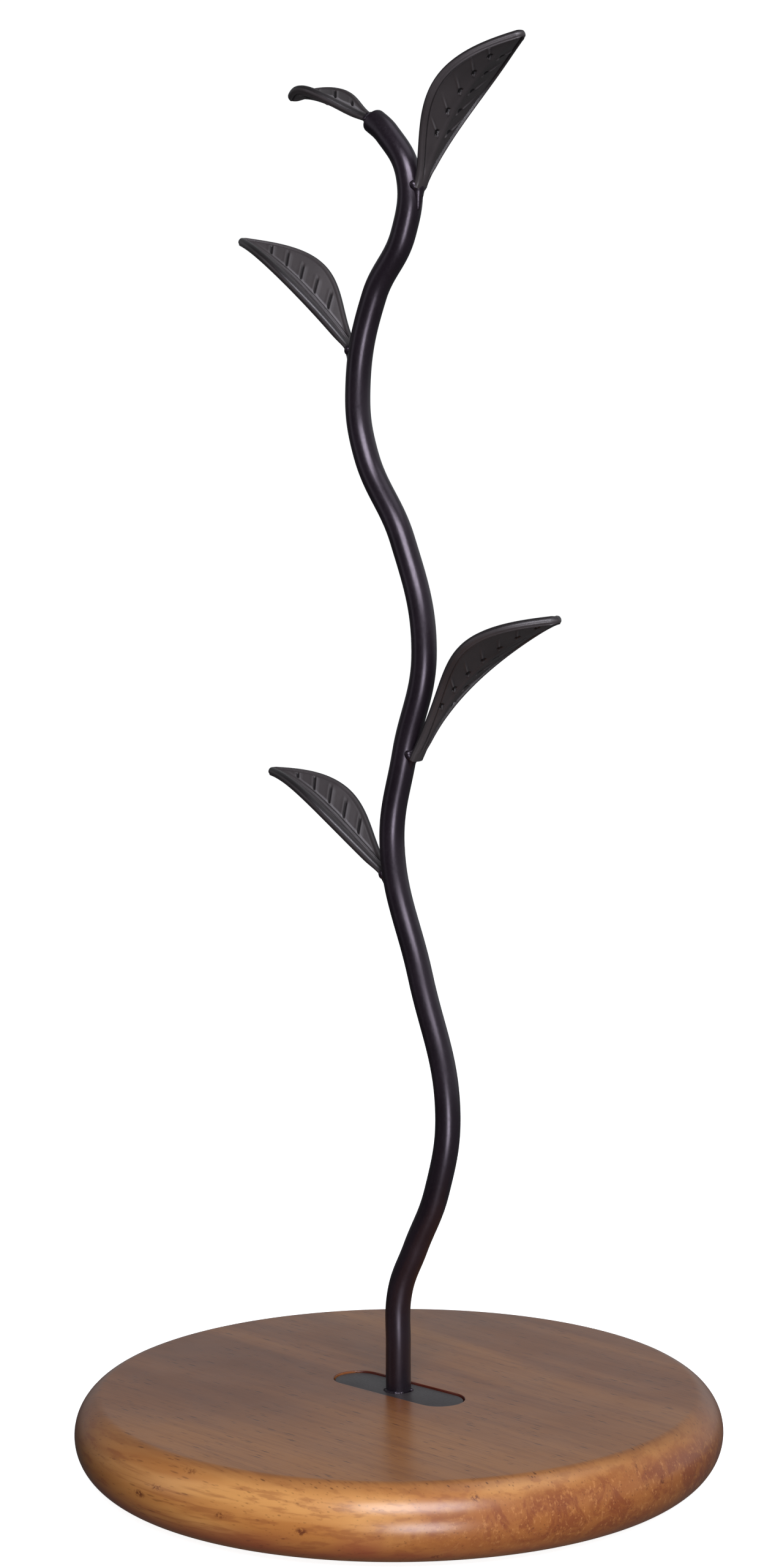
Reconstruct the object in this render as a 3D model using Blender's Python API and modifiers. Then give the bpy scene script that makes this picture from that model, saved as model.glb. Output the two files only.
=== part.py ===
"""Mug tree: a wooden disc, a winding steel stem and five folded steel leaves.

The frame has its origin at the bottom centre of the object, +Z up, and the stem's bends
and the leaves lie in the XZ plane. Units are metres.
"""

from math import asin, cos, log, pi, radians, sin, sqrt

import bmesh
import bpy
from mathutils import Vector

# Driving dimensions -------------------------------------------------------------------
GAP = 0.0003                    # left between pieces that touch

BASE_RADIUS = 0.090
BASE_THICKNESS = 0.021
BASE_EDGE_RADIUS = 0.0115       # of the round edge, which meets both flat faces in a soft corner
BASE_STEPS = 56                 # segments round the base
ROUND_STEPS = 24                # segments round a screw, washer, foot or hole
STADIUM_STEPS = 10              # segments round each end of the plate

FOOT_RADIUS = 0.006
FOOT_HEIGHT = 0.003
FOOT_RECESS = 0.001             # depth of the recess that a foot sits in
FOOT_CIRCLE = 0.066             # radius at which the feet stand

PLATE_LENGTH = 0.044
PLATE_WIDTH = 0.0134
PLATE_THICKNESS = 0.0046
PLATE_RECESS = 0.0004           # of the plate's top below the wood's

STEM_RADIUS = 0.0035

LEAF_THICKNESS = 0.0020
LEAF_ROOT_HALF_WIDTH = 0.0024
LEAF_TIP_HALF_WIDTH = 0.0013
LEAF_PULL = 0.38                # how stiffly a keel holds its end slopes, as a share of its length
LEAF_BEVEL = 0.22               # as a share of its thickness

SCREW_OFFSET = 0.0145           # of each screw from the stem, along X
SCREW_RADIUS = 0.0025
SCREW_HEAD_RADIUS = 0.0046
SCREW_HEAD_HEIGHT = 0.0028
SCREW_HEX_RADIUS = 0.0017
SCREW_HEX_DEPTH = 0.0016
WASHER_RADIUS = 0.0052
WASHER_THICKNESS = 0.0010
SPRING_RADIUS = 0.0044
SPRING_THICKNESS = 0.0012
SPRING_SPLIT = 0.0008
COUNTERBORE_RADIUS = 0.0060
COUNTERBORE_DEPTH = 0.0085
SCREW_TIP_DEPTH = 0.0035        # how far a screw reaches into the plate
SCREW_CHAMFER = 0.0005

# Levels worked out from them ----------------------------------------------------------
BASE_BOTTOM = FOOT_HEIGHT - FOOT_RECESS + GAP
BASE_TOP = BASE_BOTTOM + BASE_THICKNESS
PLATE_TOP = BASE_TOP - PLATE_RECESS
PLATE_BOTTOM = PLATE_TOP - PLATE_THICKNESS
POCKET_FLOOR = PLATE_BOTTOM - GAP
LEDGE = BASE_BOTTOM + COUNTERBORE_DEPTH

# The stem's route in the XZ plane, from the plate's underside to its free end.
STEM_ROUTE = [
    (0.0000, PLATE_BOTTOM),
    (0.0000, 0.0350),
    (0.0007, 0.0505),
    (0.0067, 0.0640),
    (0.0148, 0.0810),
    (0.0190, 0.1050),
    (0.0092, 0.1400),
    (-0.0011, 0.1752),
    (0.0038, 0.2010),
    (0.0113, 0.2295),
    (0.0035, 0.2597),
    (-0.0100, 0.2828),
    (-0.0129, 0.2996),
    (-0.0064, 0.3262),
    (0.0046, 0.3429),
    (0.0066, 0.3585),
    (-0.0012, 0.3700),
    (-0.0068, 0.3742),
]

# Each leaf: root and tip in the XZ plane, its slope in degrees at both, its half width, how
# far along its length it is widest, and how many degrees each half is folded up from flat.
LEAVES = {
    "leaf_lower_left": ((-0.0049, 0.1680), (-0.0483, 0.1926), 34, 14, 0.0101, 0.56, 28),
    "leaf_middle_right": ((0.0089, 0.2010), (0.0595, 0.2407), 60, 18, 0.0130, 0.69, 12),
    "leaf_upper_left": ((-0.0159, 0.3122), (-0.0582, 0.3424), 44, 25, 0.0118, 0.58, 25),
    "leaf_top_right": ((0.0115, 0.3565), (0.0480, 0.3945), 65, 24, 0.0111, 0.57, 12),
    "leaf_top_left": ((-0.0076, 0.3742), (-0.0380, 0.3813), 16, -9, 0.0081, 0.58, 20),
}


# Scene helpers ------------------------------------------------------------------------
def clear_scene():
    for obj in list(bpy.data.objects):
        bpy.data.objects.remove(obj, do_unlink=True)


def make_collection(name):
    collection = bpy.data.collections.new(name)
    bpy.context.scene.collection.children.link(collection)
    return collection


def make_material(name, color, roughness, metallic):
    material = bpy.data.materials.new(name)
    material.use_nodes = True
    shader = material.node_tree.nodes["Principled BSDF"]
    shader.inputs["Base Color"].default_value = (*color, 1.0)
    shader.inputs["Roughness"].default_value = roughness
    shader.inputs["Metallic"].default_value = metallic
    return material


def add_object(name, mesh, collection, material=None):
    obj = bpy.data.objects.new(name, mesh)
    collection.objects.link(obj)
    if material:
        mesh.materials.clear()
        mesh.materials.append(material)
    return obj


def shade_round(mesh):
    mesh.shade_smooth()
    mesh.set_sharp_from_angle(angle=radians(35))


def mesh_from_bmesh(name, bm):
    mesh = bpy.data.meshes.new(name)
    bm.to_mesh(mesh)
    bm.free()
    shade_round(mesh)
    return mesh


def cylinder_mesh(name, radius, bottom, top, segments=ROUND_STEPS):
    bm = bmesh.new()
    bmesh.ops.create_cone(
        bm, cap_ends=True, segments=segments, radius1=radius, radius2=radius, depth=top - bottom)
    bmesh.ops.translate(bm, verts=bm.verts, vec=(0, 0, (top + bottom) / 2))
    return mesh_from_bmesh(name, bm)


def box_mesh(name, low, high):
    bm = bmesh.new()
    bmesh.ops.create_cube(bm, size=1.0)
    size = [b - a for a, b in zip(low, high)]
    centre = [(a + b) / 2 for a, b in zip(low, high)]
    bmesh.ops.scale(bm, verts=bm.verts, vec=size)
    bmesh.ops.translate(bm, verts=bm.verts, vec=centre)
    return mesh_from_bmesh(name, bm)


def turned(name, profile, steps, collection, material=None):
    """Turn a profile of (radius, height) points, outer side first, about the Z axis."""
    mesh = bpy.data.meshes.new(name)
    edges = [(i, i + 1) for i in range(len(profile) - 1)]
    mesh.from_pydata([(r, 0, z) for r, z in profile], edges, [])
    obj = add_object(name, mesh, collection, material)
    screw = obj.modifiers.new("turn", "SCREW")
    screw.axis = "Z"
    screw.steps = steps
    screw.render_steps = steps
    screw.use_merge_vertices = True
    screw.merge_threshold = 0.00001
    return obj


def stadium_mesh(name, length, width, bottom, top):
    """A bar with round ends, drawn as a flat filled curve and thickened."""
    curve = bpy.data.curves.new(name, "CURVE")
    curve.dimensions = "2D"
    curve.fill_mode = "BOTH"
    curve.extrude = (top - bottom) / 2
    radius = width / 2
    outline = []
    for side in (1, -1):
        for i in range(STADIUM_STEPS + 1):
            angle = pi * i / STADIUM_STEPS - pi / 2
            reach = length / 2 - radius + radius * cos(angle)
            outline.append((side * reach, side * radius * sin(angle)))
    spline = curve.splines.new("POLY")
    spline.points.add(len(outline) - 1)
    for point, (x, y) in zip(spline.points, outline):
        point.co = (x, y, 0, 1)
    spline.use_cyclic_u = True
    return mesh_from_curve(name, curve, (0, 0, (top + bottom) / 2))


def mesh_from_curve(name, curve, location=(0, 0, 0)):
    """The curve's surface as a closed mesh, with its loose caps welded on."""
    guide = bpy.data.objects.new(name + "_guide", curve)
    bpy.context.scene.collection.objects.link(guide)
    depsgraph = bpy.context.evaluated_depsgraph_get()
    surface = bpy.data.meshes.new_from_object(guide.evaluated_get(depsgraph))
    bm = bmesh.new()
    bm.from_mesh(surface)
    bmesh.ops.remove_doubles(bm, verts=bm.verts, dist=0.000001)
    bmesh.ops.recalc_face_normals(bm, faces=bm.faces)
    bmesh.ops.translate(bm, verts=bm.verts, vec=location)
    bpy.data.objects.remove(guide, do_unlink=True)
    bpy.data.meshes.remove(surface)
    return mesh_from_bmesh(name, bm)


def cut(obj, name, mesh, cutters, location=(0, 0, 0)):
    cutter = add_object(name, mesh, cutters)
    cutter.location = location
    cutter.hide_render = True
    cutter.display_type = "WIRE"
    boolean = obj.modifiers.new(name, "BOOLEAN")
    boolean.operation = "DIFFERENCE"
    boolean.solver = "EXACT"
    boolean.object = cutter


# Base ---------------------------------------------------------------------------------
def foot_places():
    diagonal = FOOT_CIRCLE / sqrt(2)
    return [(x * diagonal, y * diagonal) for x in (1, -1) for y in (1, -1)]


def make_wood_base(parts, cutters, material):
    middle = BASE_BOTTOM + BASE_THICKNESS / 2
    centre = BASE_RADIUS - BASE_EDGE_RADIUS
    corner = asin(BASE_THICKNESS / 2 / BASE_EDGE_RADIUS)
    turns = 12
    profile = [(0, BASE_TOP)]
    for i in range(turns + 1):
        angle = corner * (1 - 2 * i / turns)
        profile.append((
            centre + BASE_EDGE_RADIUS * cos(angle), middle + BASE_EDGE_RADIUS * sin(angle)))
    profile.append((0, BASE_BOTTOM))
    base = turned("wood_base", profile, BASE_STEPS, parts, material)

    pocket = stadium_mesh(
        "plate_pocket", PLATE_LENGTH + 2 * GAP, PLATE_WIDTH + 2 * GAP, POCKET_FLOOR, BASE_TOP + 0.002)
    cut(base, "plate_pocket", pocket, cutters)
    for side in (-1, 1):
        bore = cylinder_mesh("screw_hole", SCREW_RADIUS + GAP, BASE_BOTTOM - 0.001, BASE_TOP)
        counterbore = cylinder_mesh("counterbore", COUNTERBORE_RADIUS, BASE_BOTTOM - 0.001, LEDGE)
        cut(base, "screw_hole", bore, cutters, (side * SCREW_OFFSET, 0, 0))
        cut(base, "counterbore", counterbore, cutters, (side * SCREW_OFFSET, 0, 0))
    for x, y in foot_places():
        recess = cylinder_mesh(
            "foot_recess", FOOT_RADIUS + GAP, BASE_BOTTOM - 0.001, BASE_BOTTOM + FOOT_RECESS)
        cut(base, "foot_recess", recess, cutters, (x, y, 0))


def make_rubber_feet(parts, material):
    round_edge = 0.0006
    top = BASE_BOTTOM + FOOT_RECESS - GAP
    profile = [
        (0, top),
        (FOOT_RADIUS, top),
        (FOOT_RADIUS, round_edge),
        (FOOT_RADIUS - round_edge, 0),
        (0, 0),
    ]
    for number, (x, y) in enumerate(foot_places(), start=1):
        foot = turned("rubber_foot_%d" % number, profile, ROUND_STEPS, parts, material)
        foot.location = (x, y, 0)


# Plate and stem -----------------------------------------------------------------------
def make_foot_plate(parts, cutters, material):
    plate = add_object(
        "foot_plate", stadium_mesh("foot_plate", PLATE_LENGTH, PLATE_WIDTH, PLATE_BOTTOM, PLATE_TOP),
        parts, material)
    stem_hole = cylinder_mesh("stem_hole", STEM_RADIUS + GAP, PLATE_BOTTOM - 0.001, BASE_TOP + 0.001)
    cut(plate, "stem_hole", stem_hole, cutters)
    for side in (-1, 1):
        tapped = cylinder_mesh(
            "tapped_hole", SCREW_RADIUS + GAP, PLATE_BOTTOM - 0.001,
            PLATE_BOTTOM + SCREW_TIP_DEPTH + GAP)
        cut(plate, "tapped_hole", tapped, cutters, (side * SCREW_OFFSET, 0, 0))


def make_stem(parts, material):
    curve = bpy.data.curves.new("stem", "CURVE")
    curve.dimensions = "3D"
    curve.bevel_depth = STEM_RADIUS
    curve.bevel_resolution = 4
    curve.resolution_u = 4
    curve.use_fill_caps = True
    spline = curve.splines.new("BEZIER")
    spline.bezier_points.add(len(STEM_ROUTE) - 1)
    for point, (x, z) in zip(spline.bezier_points, STEM_ROUTE):
        point.co = (x, 0, z)
        point.handle_left_type = "AUTO"
        point.handle_right_type = "AUTO"
    add_object("stem", mesh_from_curve("stem", curve), parts, material)


# Leaves -------------------------------------------------------------------------------
def midrib(root, tip, root_slope, tip_slope):
    """A function that gives a point on a leaf's keel and its upward normal, t from 0 to 1."""
    start = Vector((root[0], root[1]))
    end = Vector((tip[0], tip[1]))
    side = 1 if tip[0] > root[0] else -1
    pull = (end - start).length * LEAF_PULL
    first = start + pull * Vector((side * cos(radians(root_slope)), sin(radians(root_slope))))
    second = end - pull * Vector((side * cos(radians(tip_slope)), sin(radians(tip_slope))))

    def at(t):
        s = 1 - t
        point = s**3 * start + 3 * s * s * t * first + 3 * s * t * t * second + t**3 * end
        along = s * s * (first - start) + 2 * s * t * (second - first) + t * t * (end - second)
        along.normalize()
        return point, Vector((-side * along.y, side * along.x))

    return at


def half_width(t, widest, widest_at):
    """Narrow at the root, swelling to the widest place, pointed at the tip."""
    swell = sin(pi * t ** (log(0.5) / log(widest_at)))
    ends = LEAF_ROOT_HALF_WIDTH * (1 - t) ** 2 + LEAF_TIP_HALF_WIDTH * t
    at_widest = LEAF_ROOT_HALF_WIDTH * (1 - widest_at) ** 2 + LEAF_TIP_HALF_WIDTH * widest_at
    return ends + (widest - at_widest) * swell


def make_leaf(name, shape, parts, material):
    """A flat grid bent along the keel and folded up on both sides of it, then thickened."""
    root, tip, root_slope, tip_slope, widest, widest_at, fold_degrees = shape
    fold = radians(fold_degrees)
    rows = 14
    columns = 6
    at = midrib(root, tip, root_slope, tip_slope)
    bm = bmesh.new()
    bmesh.ops.create_grid(bm, x_segments=rows, y_segments=columns, size=0.5)
    for vert in bm.verts:
        t = vert.co.x + 0.5
        point, up = at(t)
        spread = 2 * vert.co.y * half_width(t, widest, widest_at)
        place = point + abs(spread) * sin(fold) * up
        vert.co = (place.x, spread * cos(fold), place.y)
    bmesh.ops.recalc_face_normals(bm, faces=bm.faces)
    leaf = add_object(name, mesh_from_bmesh(name, bm), parts, material)
    solidify = leaf.modifiers.new("thickness", "SOLIDIFY")
    solidify.thickness = LEAF_THICKNESS
    solidify.offset = 0
    bevel = leaf.modifiers.new("round_edge", "BEVEL")
    bevel.width = LEAF_THICKNESS * LEAF_BEVEL
    bevel.segments = 1
    bevel.limit_method = "ANGLE"
    bevel.angle_limit = radians(50)


# Fasteners ----------------------------------------------------------------------------
def ring_profile(inner, outer, bottom, top):
    return [(inner, top), (outer, top), (outer, bottom), (inner, bottom), (inner, top)]


def make_fasteners(side, label, parts, cutters, material):
    place = (side * SCREW_OFFSET, 0, 0)
    washer_top = LEDGE - GAP
    spring_top = washer_top - WASHER_THICKNESS - GAP
    head_top = spring_top - SPRING_THICKNESS - GAP
    head_bottom = head_top - SCREW_HEAD_HEIGHT
    hole = SCREW_RADIUS + GAP

    washer = turned(
        "washer_" + label,
        ring_profile(hole, WASHER_RADIUS, washer_top - WASHER_THICKNESS, washer_top),
        ROUND_STEPS, parts, material)
    washer.location = place

    spring = turned(
        "spring_washer_" + label,
        ring_profile(hole, SPRING_RADIUS, spring_top - SPRING_THICKNESS, spring_top),
        ROUND_STEPS, parts, material)
    spring.location = place
    split = box_mesh(
        "split", (0, -SPRING_SPLIT / 2, spring_top - 2 * SPRING_THICKNESS),
        (2 * SPRING_RADIUS, SPRING_SPLIT / 2, spring_top + SPRING_THICKNESS))
    cut(spring, "split", split, cutters, place)

    profile = [
        (0, PLATE_BOTTOM + SCREW_TIP_DEPTH),
        (SCREW_RADIUS - SCREW_CHAMFER, PLATE_BOTTOM + SCREW_TIP_DEPTH),
        (SCREW_RADIUS, PLATE_BOTTOM + SCREW_TIP_DEPTH - SCREW_CHAMFER),
        (SCREW_RADIUS, head_top),
        (SCREW_HEAD_RADIUS, head_top),
        (SCREW_HEAD_RADIUS, head_bottom + 2 * SCREW_CHAMFER),
        (SCREW_HEAD_RADIUS - 2 * SCREW_CHAMFER, head_bottom),
        (0, head_bottom),
    ]
    screw = turned("screw_" + label, profile, ROUND_STEPS, parts, material)
    screw.location = place
    socket = cylinder_mesh(
        "hex_socket", SCREW_HEX_RADIUS, head_bottom - 0.001, head_bottom + SCREW_HEX_DEPTH, segments=6)
    cut(screw, "hex_socket", socket, cutters, place)


def build():
    clear_scene()
    parts = make_collection("mug_tree")
    cutters = make_collection("cutters")
    wood = make_material("stained_wood", (0.30, 0.10, 0.035), 0.35, 0.0)
    coated_steel = make_material("black_coated_steel", (0.018, 0.016, 0.018), 0.45, 0.3)
    zinc = make_material("zinc_plated_steel", (0.55, 0.56, 0.58), 0.35, 1.0)
    rubber = make_material("black_rubber", (0.02, 0.02, 0.02), 0.8, 0.0)

    make_wood_base(parts, cutters, wood)
    make_rubber_feet(parts, rubber)
    make_foot_plate(parts, cutters, coated_steel)
    make_stem(parts, coated_steel)
    for name, shape in LEAVES.items():
        make_leaf(name, shape, parts, coated_steel)
    for side, label in ((-1, "left"), (1, "right")):
        make_fasteners(side, label, parts, cutters, zinc)


build()
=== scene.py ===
"""Looks of the mug tree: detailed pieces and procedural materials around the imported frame.

Everything is in metres in the frame's own axes: the stem's bends and the leaves lie in the
XZ plane, and the object stands on z = 0.
"""

from math import asin, cos, degrees, log, pi, radians, sin, tau

import bmesh
import bpy
import numpy as np
from mathutils import Euler, Matrix, Vector


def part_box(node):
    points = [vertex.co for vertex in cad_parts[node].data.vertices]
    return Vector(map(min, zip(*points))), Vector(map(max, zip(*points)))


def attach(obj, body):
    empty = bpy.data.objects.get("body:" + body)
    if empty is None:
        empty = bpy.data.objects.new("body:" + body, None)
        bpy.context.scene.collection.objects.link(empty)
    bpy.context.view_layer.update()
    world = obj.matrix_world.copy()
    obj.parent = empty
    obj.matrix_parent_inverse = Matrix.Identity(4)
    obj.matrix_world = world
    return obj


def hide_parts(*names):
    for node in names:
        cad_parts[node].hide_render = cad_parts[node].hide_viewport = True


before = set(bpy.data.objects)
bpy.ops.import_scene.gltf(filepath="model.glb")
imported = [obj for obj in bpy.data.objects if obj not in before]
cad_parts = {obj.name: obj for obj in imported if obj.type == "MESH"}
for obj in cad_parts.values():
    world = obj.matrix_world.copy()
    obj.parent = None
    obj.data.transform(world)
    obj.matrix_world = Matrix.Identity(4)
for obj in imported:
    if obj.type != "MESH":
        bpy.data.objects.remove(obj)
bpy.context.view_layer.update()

MM = 0.001

# Sizes that the frame gives -----------------------------------------------------------
BASE_LOW, BASE_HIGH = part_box("wood_base")
PLATE_LOW, PLATE_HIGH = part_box("foot_plate")
BASE_RADIUS = BASE_HIGH.x
BASE_TOP = BASE_HIGH.z
BASE_BOTTOM = BASE_LOW.z
PLATE_LENGTH = PLATE_HIGH.x - PLATE_LOW.x
PLATE_WIDTH = PLATE_HIGH.y - PLATE_LOW.y

# Sizes that the frame's pieces share --------------------------------------------------
GAP = 0.3 * MM
STEM_RADIUS = 3.5 * MM
LEAF_THICKNESS = 2.0 * MM
LEAF_ROOT_HALF_WIDTH = 2.4 * MM
LEAF_TIP_HALF_WIDTH = 1.3 * MM
SCREW_RADIUS = 2.5 * MM
COUNTERBORE_RADIUS = 6.0 * MM
COUNTERBORE_DEPTH = 8.5 * MM
FOOT_RECESS = 1.0 * MM
BASE_EDGE_RADIUS = 11.5 * MM
Y_AXIS = np.array([0.0, 1.0, 0.0])
SIDES = ("left", "right")
FOOT_NUMBERS = (1, 2, 3, 4)

# The stem's route in the XZ plane, as in the frame, from the plate to the free end.
STEM_ROUTE = [
    (0.0000, PLATE_LOW.z),
    (0.0000, 0.0350),
    (0.0007, 0.0505),
    (0.0067, 0.0640),
    (0.0148, 0.0810),
    (0.0190, 0.1050),
    (0.0092, 0.1400),
    (-0.0011, 0.1752),
    (0.0038, 0.2010),
    (0.0113, 0.2295),
    (0.0035, 0.2597),
    (-0.0100, 0.2828),
    (-0.0129, 0.2996),
    (-0.0064, 0.3262),
    (0.0046, 0.3429),
    (0.0066, 0.3585),
    (-0.0012, 0.3700),
    (-0.0068, 0.3742),
]

# Each leaf: root and tip in the XZ plane, its slope in degrees at both, its half width, how
# far along its length it is widest, and how many degrees each half is folded up from flat.
LEAVES = {
    "leaf_lower_left": ((-0.0049, 0.1680), (-0.0483, 0.1926), 34, 14, 0.0101, 0.56, 28),
    "leaf_middle_right": ((0.0089, 0.2010), (0.0595, 0.2407), 60, 18, 0.0130, 0.69, 12),
    "leaf_upper_left": ((-0.0159, 0.3122), (-0.0582, 0.3424), 44, 25, 0.0118, 0.58, 25),
    "leaf_top_right": ((0.0115, 0.3565), (0.0480, 0.3945), 65, 24, 0.0111, 0.57, 12),
    "leaf_top_left": ((-0.0076, 0.3742), (-0.0380, 0.3813), 16, -9, 0.0081, 0.58, 20),
}


# Mesh helpers -------------------------------------------------------------------------
def shade_with_edges(mesh, angle):
    """Smooth shading, except over edges sharper than an angle in degrees."""
    mesh.shade_smooth()
    mesh.set_sharp_from_angle(angle=radians(angle))


def add_piece(name, mesh, material, slot, *nodes, sharp=40):
    """A finished piece: it rides on the object's one body and stands for its CAD nodes."""
    obj = bpy.data.objects.new(name, mesh)
    bpy.context.scene.collection.objects.link(obj)
    mesh.materials.append(material)
    shade_with_edges(mesh, sharp)
    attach(obj, "root")
    if nodes:
        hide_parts(*nodes)
    return obj


def loft(name, rings, close_end=True, loop=False):
    """A mesh through rings of points, all with the same count, each closed on itself.

    The two end rings are filled in, or joined to each other when loop is set.
    """
    count = len(rings[0])
    points = np.concatenate([np.asarray(ring, float) for ring in rings])
    faces = []
    bands = len(rings) if loop else len(rings) - 1
    for band in range(bands):
        low = band * count
        high = (band + 1) % len(rings) * count
        for here in range(count):
            there = (here + 1) % count
            faces.append((low + here, low + there, high + there, high + here))
    if not loop:
        faces.append(tuple(range(count))[::-1])
        if close_end:
            faces.append(tuple(range(bands * count, (bands + 1) * count)))
    mesh = bpy.data.meshes.new(name)
    mesh.from_pydata(points.tolist(), [], faces)
    bm = bmesh.new()
    bm.from_mesh(mesh)
    bmesh.ops.recalc_face_normals(bm, faces=bm.faces)
    bm.to_mesh(mesh)
    bm.free()
    return mesh


def directions(count):
    """Angles spread evenly over a full turn."""
    return tau * np.arange(count) / count


def level_ring(reach, z, count, centre=(0, 0)):
    """A ring of points at one height; reach is one radius, or one for each direction."""
    angles = directions(count)
    return np.stack([
        centre[0] + reach * np.cos(angles),
        centre[1] + reach * np.sin(angles),
        np.full(count, z)], axis=1)


def stadium(length, width, z, count):
    """A bar outline with round ends."""
    cosine, sine = np.cos(directions(count)), np.sin(directions(count))
    radius = width / 2
    half = length / 2 - radius
    flat = radius / np.maximum(np.abs(sine), 1e-9)
    cap = half * np.abs(cosine) + np.sqrt(np.maximum(radius**2 - (half * sine) ** 2, 0))
    reach = np.where(np.abs(flat * cosine) <= half, flat, cap)
    return level_ring(reach, z, count)


def hexagon(inner_radius, z, count, centre):
    """A hexagon outline, inner_radius from its centre to the middle of a side."""
    from_side = (directions(count) + pi / 6) % (pi / 3) - pi / 6
    return level_ring(inner_radius / np.cos(from_side), z, count, centre)


def turned(name, profile, count, centre=(0, 0), loop=False):
    """A mesh turned about an upright axis from a profile of (radius, z)."""
    rings = [level_ring(radius, z, count, centre) for radius, z in profile]
    return loft(name, rings, loop=loop)


def level_centre(low, high):
    """The centre of a box seen from above."""
    return ((low.x + high.x) / 2, (low.y + high.y) / 2)


def arc(centre_r, centre_z, radius, start, end, steps):
    """Points (radius, z) along an arc, its angles in degrees from the outward direction."""
    angles = np.radians(np.linspace(start, end, steps))
    return [(centre_r + radius * cos(a), centre_z + radius * sin(a)) for a in angles]


def cut(obj, mesh):
    """Cut a closed mesh out of obj and apply it."""
    cutter = bpy.data.objects.new("cutter", mesh)
    bpy.context.scene.collection.objects.link(cutter)
    boolean = obj.modifiers.new("cut", "BOOLEAN")
    boolean.operation = "DIFFERENCE"
    boolean.solver = "EXACT"
    boolean.object = cutter
    apply_modifiers(obj)
    bpy.data.objects.remove(cutter, do_unlink=True)


def apply_modifiers(obj):
    """Replace a mesh by what its modifiers make of it."""
    bpy.context.view_layer.update()
    depsgraph = bpy.context.evaluated_depsgraph_get()
    mesh = bpy.data.meshes.new_from_object(obj.evaluated_get(depsgraph))
    obj.modifiers.clear()
    obj.data = mesh


# Node helpers -------------------------------------------------------------------------
class Nodes:
    """A material's node tree, built call by call."""

    def __init__(self, name):
        self.material = bpy.data.materials.new(name)
        self.material.use_nodes = True
        self.tree = self.material.node_tree
        self.shader = self.tree.nodes["Principled BSDF"]

    def add(self, kind, **settings):
        node = self.tree.nodes.new("ShaderNode" + kind)
        for key, value in settings.items():
            setattr(node, key, value)
        return node

    def link(self, source, target):
        self.tree.links.new(source, target)

    def set(self, **values):
        """Set constants on the shader, each socket's name written with underscores."""
        for key, value in values.items():
            self.shader.inputs[key.replace("_", " ")].default_value = value

    def coordinates(self, rotation=0.0, scale=(1, 1, 1)):
        """Object coordinates, turned about Z and then stretched."""
        source = self.add("TexCoord").outputs["Object"]
        turn = self.add("Mapping", vector_type="TEXTURE")
        turn.inputs["Rotation"].default_value = (0, 0, rotation)
        self.link(source, turn.inputs["Vector"])
        stretch = self.add("Mapping")
        stretch.inputs["Scale"].default_value = scale
        self.link(turn.outputs["Vector"], stretch.inputs["Vector"])
        return stretch.outputs["Vector"]

    def noise(self, vector, scale, detail=3.0, roughness=0.5, distortion=0.0):
        node = self.add("TexNoise")
        for key, value in (("Scale", scale), ("Detail", detail), ("Roughness", roughness),
                           ("Distortion", distortion)):
            node.inputs[key].default_value = value
        self.link(vector, node.inputs["Vector"])
        return node.outputs["Fac"]

    def spots(self, vector, scale):
        """Distance to the nearest of many scattered points."""
        node = self.add("TexVoronoi", feature="F1")
        node.inputs["Scale"].default_value = scale
        self.link(vector, node.inputs["Vector"])
        return node.outputs["Distance"]

    def fade(self, value, low, high, out_low=0.0, out_high=1.0):
        """value from low to high becomes out_low to out_high, smoothly and clamped."""
        node = self.add("MapRange", interpolation_type="SMOOTHSTEP")
        for key, number in (("From Min", low), ("From Max", high), ("To Min", out_low),
                            ("To Max", out_high)):
            node.inputs[key].default_value = number
        self.link(value, node.inputs["Value"])
        return node.outputs["Result"]

    def math(self, operation, a, b=None):
        """Arithmetic on one or two values, each a socket or a number."""
        node = self.add("Math", operation=operation)
        for socket, value in zip(node.inputs, (a, b)):
            if isinstance(value, (int, float)):
                socket.default_value = value
            elif value is not None:
                self.link(value, socket)
        return node.outputs["Value"]

    def mix(self, factor, a, b):
        """Mix two colours, each a socket or an (r, g, b), by a factor that is a socket."""
        node = self.add("Mix", data_type="RGBA")
        self.link(factor, node.inputs["Factor"])
        for name, value in (("A", a), ("B", b)):
            socket = [s for s in node.inputs if s.name == name and s.type == "RGBA"][0]
            if isinstance(value, tuple):
                socket.default_value = (*value, 1.0)
            else:
                self.link(value, socket)
        return [s for s in node.outputs if s.type == "RGBA"][0]

    def cover(self, color, mask, amount, other):
        """Lay a share of another colour over this one, where the mask allows it."""
        return self.mix(self.math("MULTIPLY", mask, amount), color, other)

    def ramp(self, factor, stops):
        """A colour that runs through (place, (r, g, b)) stops."""
        node = self.add("ValToRGB")
        ramp = node.color_ramp
        while len(ramp.elements) < len(stops):
            ramp.elements.new(0.5)
        for element, (place, color) in zip(ramp.elements, stops):
            element.position = place
            element.color = (*color, 1.0)
        self.link(factor, node.inputs["Fac"])
        return node.outputs["Color"]

    def bump(self, height, distance, strength, socket="Normal"):
        node = self.add("Bump")
        node.inputs["Strength"].default_value = strength
        node.inputs["Distance"].default_value = distance
        self.link(height, node.inputs["Height"])
        self.link(node.outputs["Normal"], self.shader.inputs[socket])


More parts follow.
